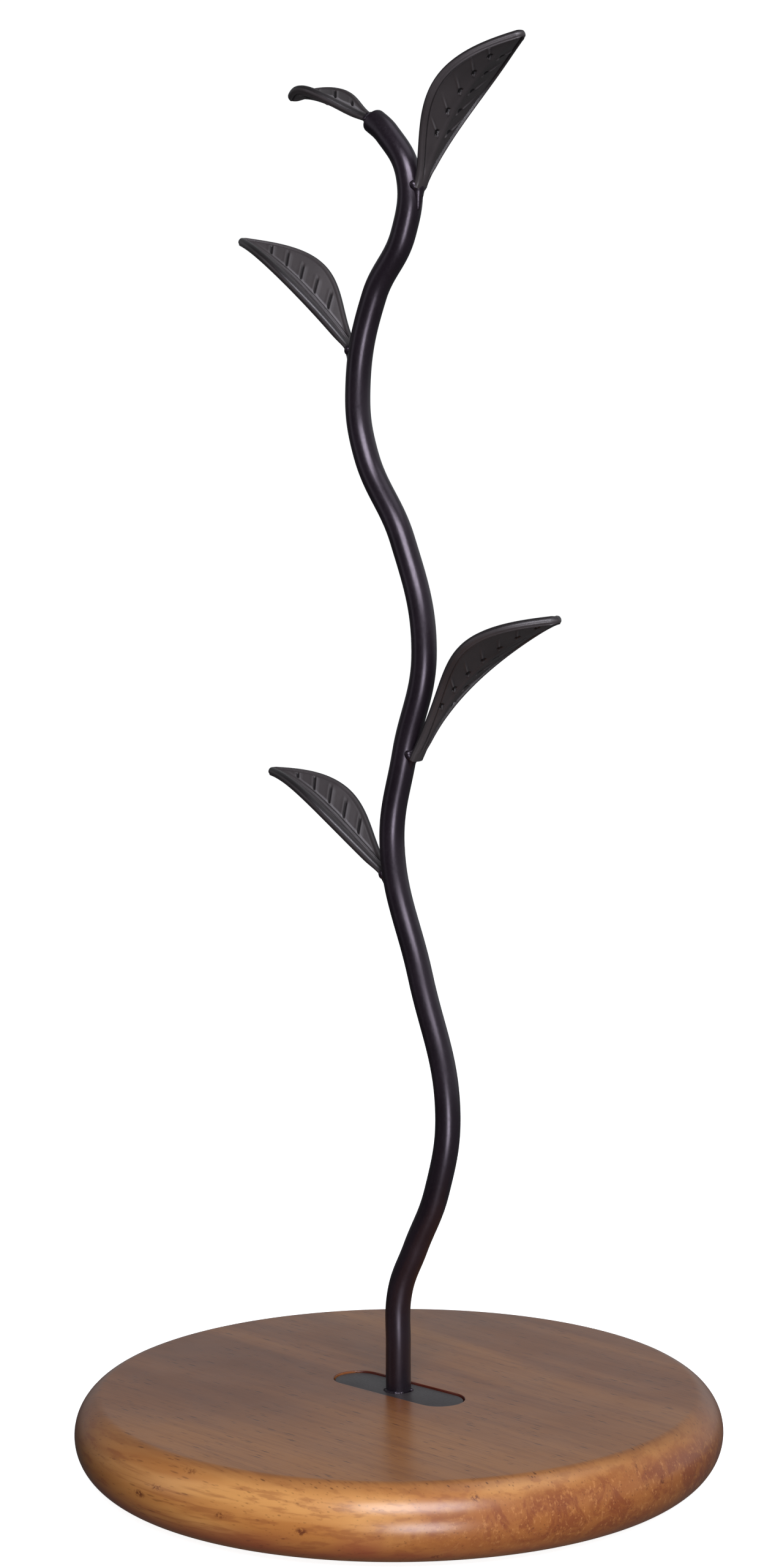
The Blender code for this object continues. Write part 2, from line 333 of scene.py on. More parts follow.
# Materials ----------------------------------------------------------------------------
GRAIN_ANGLE = radians(-3)       # of the wood's grain from the X axis
PALE_AND_LIT_SIDE = (0.68, -0.73, 0)    # the wood is paler towards this side, the side the key light faces: partly the board's own tone, partly painted light
EDGE_STARTS = 0.070             # from the base's axis: the round edge's colour fades in here
EDGE_FULL = 0.076
BOTTOM_SHADE_TOP = 0.0090              # above the underside: painted shade fades in from here down
BOTTOM_SHADE_FULL = 0.0020
WOOD_DARK = (0.170, 0.056, 0.020)
WOOD_MIDDLE = (0.262, 0.096, 0.032)
WOOD_LIGHT = (0.390, 0.158, 0.047)
# the round edge's pale colour, partly painted light
WOOD_PALE_AND_LIT = (0.640, 0.300, 0.090)
WOOD_ORANGE = (0.420, 0.150, 0.036)
WOOD_RED = (0.250, 0.080, 0.028)
WOOD_STREAK = (0.170, 0.055, 0.022)
WOOD_SOAKED = (0.235, 0.062, 0.022)
# painted shade: the darker red laid over the lower part of the round edge
WOOD_PAINTED_SHADE = (0.290, 0.066, 0.034)
WOOD_FLECK = (0.600, 0.260, 0.085)
# dark knots of stain, and also the painted shade on the walls of the pocket and bores
WOOD_KNOT_AND_SHADE = (0.090, 0.014, 0.008)
WOOD_PORE = (0.060, 0.018, 0.010)
STEM_COAT_DEEP = (0.0085, 0.0057, 0.0082)
STEM_COAT_PALE = (0.0135, 0.0092, 0.0130)
# The leaves and the plate have the same black coat as the stem, painted lighter: painted light
# standing in for the light their faces catch.
LEAF_COAT_LIT_DEEP = (0.0380, 0.0315, 0.0320)
LEAF_COAT_LIT_PALE = (0.0540, 0.0450, 0.0455)
COAT_SPECK = (0.085, 0.070, 0.085)
# Painted highlight on the coat's ridges, then painted shade in its hollows.
COAT_PAINTED_HIGHLIGHT = (0.190, 0.175, 0.180)
COAT_PAINTED_SHADE = (0.0028, 0.0020, 0.0026)
ZINC_BLUISH = (0.56, 0.57, 0.58)
ZINC_YELLOWISH = (0.62, 0.61, 0.56)
RUBBER_BLACK = (0.018, 0.018, 0.019)
RUBBER_DUST = (0.070, 0.068, 0.066)


def along_axis(n, vector, axis):
    """How far a vector socket reaches along an axis."""
    dot = n.add("VectorMath", operation="DOT_PRODUCT")
    n.link(vector, dot.inputs[0])
    dot.inputs[1].default_value = axis
    return dot.outputs["Value"]


def long_grain(n, plain):
    """Colour of the face of the board: growth rings as broad figure, bands and fibres."""
    figure = n.coordinates(GRAIN_ANGLE, (0.16, 1.0, 1.0))
    bands = n.coordinates(GRAIN_ANGLE, (0.05, 1.0, 1.0))
    fibres = n.coordinates(GRAIN_ANGLE, (0.035, 1.0, 1.0))
    broad = n.noise(figure, 42.0, detail=3.0, distortion=0.7)
    color = n.ramp(broad, [(0.30, WOOD_DARK), (0.50, WOOD_MIDDLE), (0.72, WOOD_LIGHT)])
    # Partly painted light: the top is paler towards the side the key light faces.
    paler_and_lit = n.fade(along_axis(n, plain, PALE_AND_LIT_SIDE), 0.000, 0.075, 0.0, 0.75)
    color = n.mix(paler_and_lit, color, WOOD_LIGHT)
    narrow = n.fade(n.noise(bands, 330.0, detail=3.0, roughness=0.6), 0.42, 0.70)
    color = n.cover(color, narrow, 0.32, WOOD_DARK)
    fine = n.fade(n.noise(fibres, 1100.0, detail=3.0, roughness=0.65), 0.50, 0.66)
    return n.cover(color, fine, 0.30, WOOD_STREAK)


def edge_grain_light_and_shade(n, plain, height):
    """Colour of the round edge: pale long grain with level lines, its paleness partly painted
    light, and a darker red towards the bottom that is painted shade.

    It is redder, too, on the side away from the board's pale, lit side: partly the wood's own
    tone, partly painted shade.
    """
    figure = n.coordinates(GRAIN_ANGLE, (0.10, 0.5, 1.0))
    fibres = n.coordinates(GRAIN_ANGLE, (0.05, 0.5, 1.3))
    broad = n.fade(n.noise(figure, 95.0, detail=3.0, distortion=0.8), 0.36, 0.66)
    color = n.cover(WOOD_PALE_AND_LIT, broad, 0.85, WOOD_ORANGE)
    # Partly painted shade: the edge is redder away from the side the key light faces.
    redder_and_shaded = n.fade(along_axis(n, plain, PALE_AND_LIT_SIDE), 0.000, 0.076, 0.95, 0.0)
    color = n.mix(redder_and_shaded, color, WOOD_RED)
    lines = n.fade(n.noise(fibres, 560.0, detail=4.0), 0.48, 0.64)
    color = n.cover(color, lines, 0.42, WOOD_SOAKED)
    wobble = n.fade(n.noise(figure, 130.0, detail=2.0), 0.3, 0.7, -0.002, 0.002)
    # Painted shade: the edge is painted a darker red towards the underside, where less light
    # falls.
    painted_bottom_shade = n.fade(
        n.math("ADD", height, wobble), BASE_BOTTOM + BOTTOM_SHADE_FULL, BASE_BOTTOM + BOTTOM_SHADE_TOP,
        0.75, 0.0)
    return n.mix(painted_bottom_shade, color, WOOD_PAINTED_SHADE)


def end_grain_color(n, plain, color, end_grain):
    """Stain soaks into the end grain in red-brown blotches, with paler flecks between."""
    blotches = n.noise(plain, 120.0, detail=6.0, roughness=0.70, distortion=0.9)
    blotches = n.fade(blotches, 0.40, 0.62)
    color = n.cover(color, end_grain, 0.80, WOOD_ORANGE)
    soaked = n.math("MULTIPLY", end_grain, n.fade(blotches, 0, 1, 0.42, 0.92))
    color = n.mix(soaked, color, WOOD_SOAKED)
    ragged = n.noise(
        n.coordinates(GRAIN_ANGLE, (0.5, 1.0, 0.7)), 900.0, detail=4.0, roughness=0.7)
    flecks = n.math("MULTIPLY", n.fade(ragged, 0.54, 0.66), end_grain)
    return n.cover(color, flecks, 0.48, WOOD_FLECK)


def stain_knots(n, plain, edge):
    """Mask of small dark red knots of stain, with torn outlines, round the edge."""
    knots = n.spots(n.coordinates(GRAIN_ANGLE, (0.45, 1.0, 1.0)), 105.0)
    knots = n.fade(knots, 0.05, 0.15, 1.0, 0.0)
    torn = n.fade(n.noise(plain, 1100.0, detail=3.0, roughness=0.7), 0.44, 0.56)
    return n.math("MULTIPLY", n.math("MULTIPLY", knots, torn), edge)


def open_pores(n, plain, edge):
    """Mask of open pores: dashes on long grain and dots on end grain, in loose drifts."""
    vessels = n.coordinates(GRAIN_ANGLE, (0.125, 1.0, 1.0))
    drift = n.fade(n.noise(plain, 150.0, detail=3.0), 0.36, 0.56, 0.25, 1.0)
    coarse = n.fade(n.spots(vessels, 640.0), 0.08, 0.19, 1.0, 0.0)
    small = n.fade(n.spots(vessels, 1150.0), 0.10, 0.24, 0.70, 0.0)
    pores = n.math("MULTIPLY", n.math("MAXIMUM", coarse, small), drift)
    return n.math("MULTIPLY", pores, n.fade(edge, 0, 1, 1.0, 0.55))


def make_wood():
    """Red-brown stained hardwood under a satin-gloss lacquer."""
    n = Nodes("stained_wood")
    plain = n.coordinates()
    normal = n.add("NewGeometry").outputs["Normal"]
    facing = n.add("SeparateXYZ")
    n.link(normal, facing.inputs["Vector"])
    place = n.add("SeparateXYZ")
    n.link(plain, place.inputs["Vector"])
    from_axis = n.add("CombineXYZ")
    n.link(place.outputs["X"], from_axis.inputs["X"])
    n.link(place.outputs["Y"], from_axis.inputs["Y"])
    radius = n.add("VectorMath", operation="LENGTH")
    n.link(from_axis.outputs["Vector"], radius.inputs[0])

    # The round edge, where the surface turns upright, is coloured paler than the top: partly its
    # own grain, partly painted light. The walls of the pocket are painted dark: painted shade.
    levelness = n.math("ABSOLUTE", facing.outputs["Z"])
    outermost = n.fade(radius.outputs["Value"], EDGE_STARTS, EDGE_FULL)
    edge = n.math("MULTIPLY", n.fade(levelness, 0.62, 0.96, 1.0, 0.0), outermost)
    color = n.mix(edge, long_grain(n, plain), edge_grain_light_and_shade(n, plain, place.outputs["Z"]))
    # Painted shade: the steep walls of the pocket and of the bores beneath take the darkest wood
    # colour.
    steep = n.fade(levelness, 0.93, 0.998, 1.0, 0.0)
    shaded_walls = n.math("MULTIPLY", steep, n.fade(outermost, 0, 1, 0.95, 0.0))
    color = n.mix(shaded_walls, color, WOOD_KNOT_AND_SHADE)

    # End grain shows where the surface faces along the grain.
    along = along_axis(n, normal, (cos(GRAIN_ANGLE), sin(GRAIN_ANGLE), 0))
    end_grain = n.fade(n.math("ABSOLUTE", along), 0.58, 0.90)
    color = end_grain_color(n, plain, color, end_grain)
    color = n.cover(color, stain_knots(n, plain, edge), 0.80, WOOD_KNOT_AND_SHADE)
    pores = open_pores(n, plain, edge)
    color = n.cover(color, pores, 0.72, WOOD_PORE)
    n.link(color, n.shader.inputs["Base Color"])

    rough = n.fade(n.noise(plain, 60.0, detail=3.0), 0.3, 0.7, 0.40, 0.52)
    n.link(rough, n.shader.inputs["Roughness"])
    n.set(Specular_IOR_Level=0.12, Coat_Weight=0.9, Coat_Roughness=0.27, Coat_IOR=1.5)
    n.bump(pores, -0.00008, 0.8)
    lacquer = n.math("MAXIMUM", pores, n.noise(plain, 900.0, detail=2.0))
    n.bump(lacquer, -0.00003, 0.5, "Coat Normal")
    return n.material


def make_powder_coat(name, deep, pale, smooth, tint):
    """Satin powder coat between two near blacks, with a fine orange peel.

    smooth is its lowest roughness, and tint is the colour of its sheen. A mesh's "shade"
    attribute paints shade into its hollows towards -1 and paints highlights onto its ridges
    towards 1.
    """
    n = Nodes(name)
    plain = n.coordinates()
    color = n.ramp(n.noise(plain, 90.0, detail=3.0), [(0.3, deep), (0.7, pale)])
    speck = n.fade(n.noise(plain, 2200.0, detail=2.0), 0.60, 0.74)
    color = n.cover(color, speck, 0.10, COAT_SPECK)
    shade = n.add("Attribute", attribute_name="shade").outputs["Fac"]
    # Painted highlights on the ridges and painted shade in the hollows, from the "shade"
    # attribute.
    color = n.mix(n.fade(shade, 0.05, 1.0, 0.0, 0.85), color, COAT_PAINTED_HIGHLIGHT)
    color = n.cover(color, n.fade(shade, -0.05, -0.80), 0.95, COAT_PAINTED_SHADE)
    n.link(color, n.shader.inputs["Base Color"])
    rough = n.fade(n.noise(plain, 1400.0, detail=2.0), 0.3, 0.7, smooth, smooth + 0.06)
    n.link(rough, n.shader.inputs["Roughness"])
    n.set(Specular_IOR_Level=0.60, Specular_Tint=(*tint, 1.0))
    n.bump(n.noise(plain, 1300.0, detail=2.0), 0.00002, 0.4)
    return n.material


def make_zinc():
    """Bright zinc plating, faintly bluish and yellowish, with turning marks."""
    n = Nodes("zinc_plating")
    plain = n.coordinates()
    tint = n.noise(plain, 260.0, detail=2.0)
    color = n.ramp(tint, [(0.35, ZINC_BLUISH), (0.65, ZINC_YELLOWISH)])
    n.link(color, n.shader.inputs["Base Color"])
    rough = n.fade(n.noise(n.coordinates(0.0, (1, 1, 8)), 900.0), 0.3, 0.7, 0.22, 0.38)
    n.link(rough, n.shader.inputs["Roughness"])
    n.set(Metallic=1.0)
    return n.material


def make_rubber():
    """Matt moulded rubber with a fine grain and a little dust."""
    n = Nodes("black_rubber")
    plain = n.coordinates()
    dust = n.fade(n.noise(plain, 700.0, detail=4.0, roughness=0.7), 0.52, 0.80)
    color = n.cover(RUBBER_BLACK, dust, 0.4, RUBBER_DUST)
    n.link(color, n.shader.inputs["Base Color"])
    rough = n.fade(dust, 0, 1, 0.70, 0.88)
    n.link(rough, n.shader.inputs["Roughness"])
    n.bump(n.noise(plain, 3000.0, detail=1.0), 0.00003, 0.6)
    return n.material


# Base ---------------------------------------------------------------------------------
def base_edge():
    """The round edge from the top face to the bottom, its two corners softly sanded."""
    middle = (BASE_TOP + BASE_BOTTOM) / 2
    centre = BASE_RADIUS - BASE_EDGE_RADIUS
    soften = 1.0 * MM
    corner = degrees(asin((BASE_TOP - middle) / BASE_EDGE_RADIUS))
    sanded = corner - degrees(soften / BASE_EDGE_RADIUS)
    turn = radians(sanded)
    corner_radius = centre + BASE_EDGE_RADIUS * cos(radians(corner))
    tip = Vector((corner_radius, BASE_TOP))
    start = Vector((corner_radius - soften, BASE_TOP))
    end = Vector((centre + BASE_EDGE_RADIUS * cos(turn), middle + BASE_EDGE_RADIUS * sin(turn)))
    steps = 6
    upper = []
    for i in range(steps):
        t = i / steps
        point = (1 - t) ** 2 * start + 2 * t * (1 - t) * tip + t * t * end
        upper.append((point.x, point.y))
    upper += arc(centre, middle, BASE_EDGE_RADIUS, sanded, 0, 22)
    lower = [(radius, 2 * middle - z) for radius, z in upper[-2::-1]]
    return upper + lower


def make_base(material):
    """The turned disc, with eased edges on the plate's pocket and bores from beneath."""
    count = 288
    ease = 0.25 * MM
    floor = PLATE_LOW.z - GAP
    length = PLATE_LENGTH + 2 * GAP
    width = PLATE_WIDTH + 2 * GAP
    rings = [
        stadium(length * 0.5, width * 0.5, floor, count),
        stadium(length, width, floor, count),
    ]
    for turn in np.radians(np.linspace(0, 90, 5)):
        out = 2 * ease * (1 - cos(turn))
        z = BASE_TOP - ease * (1 - sin(turn))
        rings.append(stadium(length + out, width + out, z, count))

    # A narrow margin round the pocket keeps its eased edge out of the flat top's shading.
    edge = base_edge()
    flat_radius = edge[0][0]
    margin = 2 * ease + 0.4 * MM
    inner = stadium(length + margin, width + margin, BASE_TOP, count)
    outer = level_ring(flat_radius, BASE_TOP, count)
    rings.append(inner)
    for share in (0.15, 0.4, 0.7):
        rings.append(inner * (1 - share) + outer * share)
    rings += [level_ring(radius, z, count) for radius, z in edge]
    rings.append(level_ring(flat_radius * 0.5, BASE_BOTTOM, count))
    base = add_piece(
        "turned_base", loft("turned_base", rings), material, "stained_wood", "wood_base")

    beneath = BASE_BOTTOM - 0.5 * MM
    ledge = BASE_BOTTOM + COUNTERBORE_DEPTH
    bore_radius = SCREW_RADIUS + GAP
    bore = [
        (COUNTERBORE_RADIUS + 0.8 * MM, beneath),
        (COUNTERBORE_RADIUS, BASE_BOTTOM + 0.3 * MM),
        (COUNTERBORE_RADIUS, ledge),
        (bore_radius, ledge),
        (bore_radius, floor + 0.5 * MM),
    ]
    for side in SIDES:
        low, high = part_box("screw_" + side)
        cut(base, turned("bore", bore, 64, level_centre(low, high)))
    for number in FOOT_NUMBERS:
        low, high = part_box("rubber_foot_%d" % number)
        radius = (high.x - low.x) / 2 + GAP
        recess = [(radius, beneath), (radius, BASE_BOTTOM + FOOT_RECESS)]
        cut(base, turned("recess", recess, 64, level_centre(low, high)))
    shade_with_edges(base.data, 35)


def make_feet(material):
    """Moulded feet: a bevelled upper edge, a rounded lower edge and a dimple underneath."""
    ease = 0.6 * MM
    for number in FOOT_NUMBERS:
        node = "rubber_foot_%d" % number
        low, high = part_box(node)
        radius = (high.x - low.x) / 2
        profile = [
            (radius * 0.3, high.z),
            (radius - 0.15 * MM, high.z),
            (radius, high.z - 0.2 * MM),
        ]
        profile += arc(radius - ease, low.z + ease, ease, 0, -90, 9)
        profile += [(radius * 0.42, low.z), (radius * 0.36, low.z + 0.35 * MM)]
        pad = turned(node, profile, 64, level_centre(low, high))
        add_piece("foot_pad_%d" % number, pad, material, "black_rubber", node)


# Plate and stem -----------------------------------------------------------------------
def make_plate(material):
    """The plate: an eased top edge, a hole that the stem stands in and two screw holes."""
    count = 288
    ease = 0.35 * MM
    bevel = 0.2 * MM
    hole = STEM_RADIUS + GAP
    top, bottom = PLATE_HIGH.z, PLATE_LOW.z
    rings = [
        level_ring(hole, bottom, count),
        level_ring(hole, top - bevel, count),
        level_ring(hole + bevel, top, count),
    ]
    for turn in np.radians(np.linspace(90, 0, 6)):
        inset = 2 * ease * (1 - cos(turn))
        z = top - ease * (1 - sin(turn))
        rings.append(stadium(PLATE_LENGTH - inset, PLATE_WIDTH - inset, z, count))
    rings.append(stadium(PLATE_LENGTH, PLATE_WIDTH, bottom, count))
    plate = add_piece(
        "let_in_plate", loft("let_in_plate", rings, loop=True), material, "black_coated_steel",
        "foot_plate")
    screw_hole = SCREW_RADIUS + GAP
    for side in SIDES:
        low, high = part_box("screw_" + side)
        profile = [(screw_hole, bottom - 0.5 * MM), (screw_hole, high.z + GAP)]
        cut(plate, turned("screw_hole", profile, 48, level_centre(low, high)))
    shade_with_edges(plate.data, 35)


def stem_path():
    """Close points along the stem's centreline and the unit direction at each."""
    curve = bpy.data.curves.new("stem_route", "CURVE")
    curve.dimensions = "3D"
    curve.resolution_u = 16
    spline = curve.splines.new("BEZIER")
    spline.bezier_points.add(len(STEM_ROUTE) - 1)
    for point, (x, z) in zip(spline.bezier_points, STEM_ROUTE):
        point.co = (x, 0, z)
        point.handle_left_type = "AUTO"
        point.handle_right_type = "AUTO"
    guide = bpy.data.objects.new("stem_route", curve)
    bpy.context.scene.collection.objects.link(guide)
    depsgraph = bpy.context.evaluated_depsgraph_get()
    line = bpy.data.meshes.new_from_object(guide.evaluated_get(depsgraph))
    points = np.array([vertex.co for vertex in line.vertices])
    bpy.data.objects.remove(guide, do_unlink=True)
    bpy.data.meshes.remove(line)
    along = np.gradient(points, axis=0)
    along /= np.linalg.norm(along, axis=1)[:, None]
    return points, along


def make_stem(material, points, along):
    """The bent rod, with its free end rounded off."""
    ease = 1.1 * MM
    cosine = np.cos(directions(48))[:, None]
    sine = np.sin(directions(48))[:, None]

    def ring(centre, direction, radius):
        across = np.array([direction[2], 0, -direction[0]])
        return centre + radius * cosine * across + radius * sine * Y_AXIS

    rings = []
    for centre, direction in zip(points, along):
        if np.linalg.norm(points[-1] - centre) > ease:
            rings.append(ring(centre, direction, STEM_RADIUS))
    for turn in np.radians(np.linspace(0, 90, 8)):
        centre = points[-1] - along[-1] * ease * (1 - sin(turn))
        rings.append(ring(centre, along[-1], STEM_RADIUS - ease * (1 - cos(turn))))
    add_piece("bent_stem", loft("bent_stem", rings), material, "black_coated_steel", "stem")


# Leaves -------------------------------------------------------------------------------
def midrib(t, root, tip, root_slope, tip_slope):
    """Points on a leaf's keel in the XZ plane, and the upward normals, for an array t."""
    start, end = np.array(root), np.array(tip)
    side = 1 if tip[0] > root[0] else -1
    pull = np.linalg.norm(end - start) * 0.38
    first = start + pull * np.array([side * cos(radians(root_slope)), sin(radians(root_slope))])
    second = end - pull * np.array([side * cos(radians(tip_slope)), sin(radians(tip_slope))])
    t = t[:, None]
    s = 1 - t
    point = s**3 * start + 3 * s * s * t * first + 3 * s * t * t * second + t**3 * end
    along = s * s * (first - start) + 2 * s * t * (second - first) + t * t * (end - second)
    along /= np.linalg.norm(along, axis=1)[:, None]
    return point, np.stack([-side * along[:, 1], side * along[:, 0]], axis=1)


def half_width(t, widest, widest_at):
    """Narrow at the root, swelling to the widest place, pointed at the tip."""
    t = np.clip(t, 0, 1)
    swell = np.sin(pi * t ** (log(0.5) / log(widest_at)))
    ends = LEAF_ROOT_HALF_WIDTH * (1 - t) ** 2 + LEAF_TIP_HALF_WIDTH * t
    at_widest = LEAF_ROOT_HALF_WIDTH * (1 - widest_at) ** 2 + LEAF_TIP_HALF_WIDTH * widest_at
    return ends + (widest - at_widest) * swell


def bell(distance, width):
    """1 at no distance, falling to nothing over about twice the width."""
    return np.exp(-(distance / width) ** 2)


def step(value):
    """0 below 0, 1 above 1 and smooth between."""
    value = np.clip(value, 0, 1)
    return value * value * (3 - 2 * value)


VEIN_SPACING = 7.4 * MM         # between veins, along the midrib
VEIN_FIRST = 0.24               # of the leaf's length, where the first pair starts
VEIN_LAST = 0.90                # of the leaf's length, where no more pairs start
VEIN_ROOT = 1.0 * MM            # out from the keel, where a vein starts
VEIN_LEAN = 1.15                # how far a vein runs forward for each step outward
VEIN_CURL = 9.0                 # per metre: how much it bends back again
VEIN_SLANT = 0.66               # turns a distance along the leaf into one across a vein
RIM_WIDTH = 1.7 * MM
RIM_PAINTED_SHADE = -0.55               # painted shade on the coat round the rim's outer side, above
ROW_SPACING = 0.23 * MM
LEAF_BEND = 1.06                # a leaf's length over the straight line from root to tip
LEAF_SUNK = 1.4 * MM            # the root runs on into the stem
TIP_CLOSES = 1.3 * MM           # over which the tip rounds off
KEEL_SOFTNESS = 0.8 * MM        # how softly the fold is rounded


def rim_relief(depth, groove, lift, face):
    """Height of the rounded lip, depth in from the leaf's edge, and of the face inside."""
    lip = np.sqrt(np.clip(1 - (2 * depth / RIM_WIDTH - 1) ** 2, 0, 1))
    inside = step((depth - RIM_WIDTH) / (0.5 * MM))
    return lift * lip - groove * rim_groove(depth) + face * inside


def rim_groove(depth):
    """1 in the bottom of the groove just inside the rim."""
    return bell(depth - RIM_WIDTH - 0.15 * MM, 0.26 * MM)


def between(value, start, rise, end, fall):
    """1 between start and end and 0 outside them, with a rise and a fall, in millimetres."""
    return step((value - start * MM) / (rise * MM)) * step((end * MM - value) / (fall * MM))


def vein_relief(off, spread, inside, roomy):
    """One vein, off being the distance from its line: a cut above and a rib beneath, with painted
    shade in the cut and beside the rib, and painted highlights beside the cut and on the rib.
    """
    reach = inside * between(spread, 1.7, 0.6, 7.4, 1.8)
    cut_line = bell(off, 0.30 * MM)
    banks = bell(np.abs(off) - 0.85 * MM, 0.36 * MM)
    lit_side = bell(off + 0.66 * MM, 0.22 * MM)
    upper = reach * (0.15 * banks - 0.55 * cut_line)
    upper_shade = reach * (0.60 * lit_side - 1.30 * cut_line)
    reach = inside * roomy * between(spread, 0.9, 0.5, 8.2, 4.5)
    under = 0.36 * reach * bell(off, 0.27 * MM)
    dark_side = bell(off - 0.60 * MM, 0.28 * MM)
    under_shade = reach * (0.62 * bell(off, 0.24 * MM) - 0.35 * dark_side)
    return np.array([upper, under, upper_shade, under_shade])


def pit(ahead, spread):
    """1 inside a three-cornered pit that starts at a point, ahead 0, and widens to ahead 1."""
    widening = np.clip(ahead, 0, 1)
    middle = (1.95 + 0.45 * widening) * MM
    half = (0.22 + 0.66 * widening) * MM
    ends = step(ahead / 0.20) * step((1.08 - ahead) / 0.22)
    return ends * step(1.30 - np.abs(spread - middle) / half)


def leaf_relief(along, spread, width, length):
    """Height in millimetres of the upper face and the underside, then the painted light and shade
    of each.
    """
    depth = width - spread
    roomy = step((width - 3.0 * MM) / (2.0 * MM))
    taper = step((length - along) / (0.5 * length))
    inside = step((depth - RIM_WIDTH - 0.2 * MM) / (0.9 * MM))

    # A double raised midrib above, with a dark line of painted shade on either side of each
    # ridge.
    ridge = taper * bell(spread - 0.75 * MM, 0.30 * MM)
    upper = rim_relief(depth, groove=0.16, lift=0.16, face=-0.10) + 0.42 * ridge
    upper -= 0.22 * taper * bell(spread - 1.6 * MM, 0.4 * MM)
    # Painted light and shade above: the whole face a little lighter as if lit from above,
    # highlights on the ridges, a light line beside the dark ones and shade in the groove inside
    # the rim.
    upper_shade = 0.18 + 0.60 * ridge - 0.45 * rim_groove(depth)
    upper_shade -= 1.10 * taper * bell(spread - 1.35 * MM, 0.26 * MM)
    upper_shade += 0.90 * taper * inside * bell(spread - 1.95 * MM, 0.26 * MM)

    # A single broad midrib beneath, inside a deeper groove.
    under = rim_relief(depth, groove=0.42, lift=0.34, face=-0.16)
    under += 0.26 * taper * bell(spread, 0.85 * MM)
    # Painted light and shade beneath: the rim a little lighter, the groove inside it darker.
    under_shade = 0.10 * step(depth / MM) * step((RIM_WIDTH - depth) / MM)
    under_shade -= 0.85 * rim_groove(depth)

    relief = np.array([upper, under, upper_shade, under_shade])
    outward = spread - VEIN_ROOT
    start = VEIN_FIRST * length
    while start < VEIN_LAST * length:
        line = start + VEIN_LEAN * outward - VEIN_CURL * outward**2
        relief += vein_relief((along - line) * VEIN_SLANT, spread, inside, roomy)
        # A pit beneath at each vein's start, sunk and painted black: painted shade.
        hole = roomy * pit((along - start - 0.25 * MM) / (2.1 * MM), spread)
        relief[1] -= 0.45 * hole
        relief[3] -= 1.8 * hole
        start += VEIN_SPACING
    return relief


def section_stations():
    """Places round a leaf's section as (side, face, (kind, share)), side and face 1 or -1.

    From the edge they are close together over the rim and then even as far as the keel.
    """
    half = [("edge", turn) for turn in np.linspace(0, pi / 2, 6, endpoint=False)]
    half += [("rim", share) for share in np.linspace(0, 1, 13)[:-1]]
    half += [("face", share) for share in np.linspace(1, 0, 34)]
    upper = [(1, 1, place) for place in half] + [(-1, 1, place) for place in half[-2::-1]]
    under = [(-1, -1, place) for place in half[1:]]
    under += [(1, -1, place) for place in half[-2:0:-1]]
    return upper + under


def make_leaf(name, shape, material):
    """A folded leaf: rounded rim, raised midrib, cut veins above, ribs and pits beneath."""
    root, tip, root_slope, tip_slope, widest, widest_at, fold_degrees = shape
    full_fold = radians(fold_degrees)
    length = float(np.linalg.norm(np.array(tip) - np.array(root))) * LEAF_BEND

    # t runs from the sunk root, below 0, to 1 at the tip, with close rows where that closes.
    closes = TIP_CLOSES / length
    rows = round(length / ROW_SPACING)
    body = np.linspace(-LEAF_SUNK / length, 1 - closes, rows, endpoint=False)
    end = 1 - closes * (1 - np.sin(np.radians(np.linspace(0, 87, 12))))
    t = np.concatenate([body, end])
    closing = np.sqrt(np.clip(1 - ((t - 1 + closes) / closes).clip(0, 1) ** 2, 0.0004, 1))
    point, up = midrib(t, root, tip, root_slope, tip_slope)
    width = half_width(t, widest, widest_at) * closing
    edge = np.minimum(LEAF_THICKNESS / 2, width * 0.98) * (0.35 + 0.65 * closing)
    flat = width - edge
    rim = np.minimum(1.5 * MM, flat * 0.5)
    fade = step(t * length / (5 * MM)) * step((1 - t) * length / (1.5 * MM))

    columns = []
    shades = []
    for side, face, (kind, share) in section_stations():
        if kind == "edge":
            spread = flat + edge * cos(share)
            height = edge * sin(share)
            shades.append(np.full(len(t), RIM_PAINTED_SHADE if face > 0 else 0.0))
        else:
            spread = flat - rim * share if kind == "rim" else (flat - rim) * share
            upper, under, upper_shade, under_shade = leaf_relief(
                t * length, spread, width, length)
            relief = (upper if face > 0 else under) * fade * MM
            height = edge + relief * step((flat - spread) / (0.25 * MM) + 0.4)
            shades.append((upper_shade if face > 0 else under_shade) * fade)
        soft = np.hypot(spread, KEEL_SOFTNESS)
        fold = full_fold * spread / soft
        rise = sin(full_fold) * (soft - KEEL_SOFTNESS)
        out = face * height
        lateral = side * (cos(full_fold) * spread - np.sin(fold) * out)
        lift = rise + np.cos(fold) * out
        columns.append(np.stack(
            [point[:, 0] + up[:, 0] * lift, lateral, point[:, 1] + up[:, 1] * lift], axis=1))
    mesh = loft(name, list(np.stack(columns, axis=1)))
    # The painted light and shade go to the coat as its "shade" attribute.
    shade = mesh.attributes.new("shade", "FLOAT", "POINT")
    shade.data.foreach_set("value", np.stack(shades, axis=1).astype(np.float32).ravel())
    add_piece(
        name.replace("leaf", "veined_leaf"), mesh, material, "black_coated_steel", name, sharp=80)


# Welds --------------------------------------------------------------------------------
def make_weld(name, blobs, material):
    """A lumpy bead: overlapping drops (centre, radius) melted into one skin."""
    bm = bmesh.new()
    for centre, radius in blobs:
        made = bmesh.ops.create_icosphere(bm, subdivisions=3, radius=radius)
        bmesh.ops.translate(bm, verts=made["verts"], vec=tuple(centre))
    mesh = bpy.data.meshes.new(name)
    bm.to_mesh(mesh)
    bm.free()
    weld = add_piece(name, mesh, material, "black_coated_steel", sharp=180)
    remesh = weld.modifiers.new("melt", "REMESH")
    remesh.mode = "VOXEL"
    remesh.voxel_size = 0.2 * MM
    smooth = weld.modifiers.new("flow", "SMOOTH")
    smooth.iterations = 8
    smooth.factor = 0.6
    apply_modifiers(weld)
    weld.data.shade_smooth()


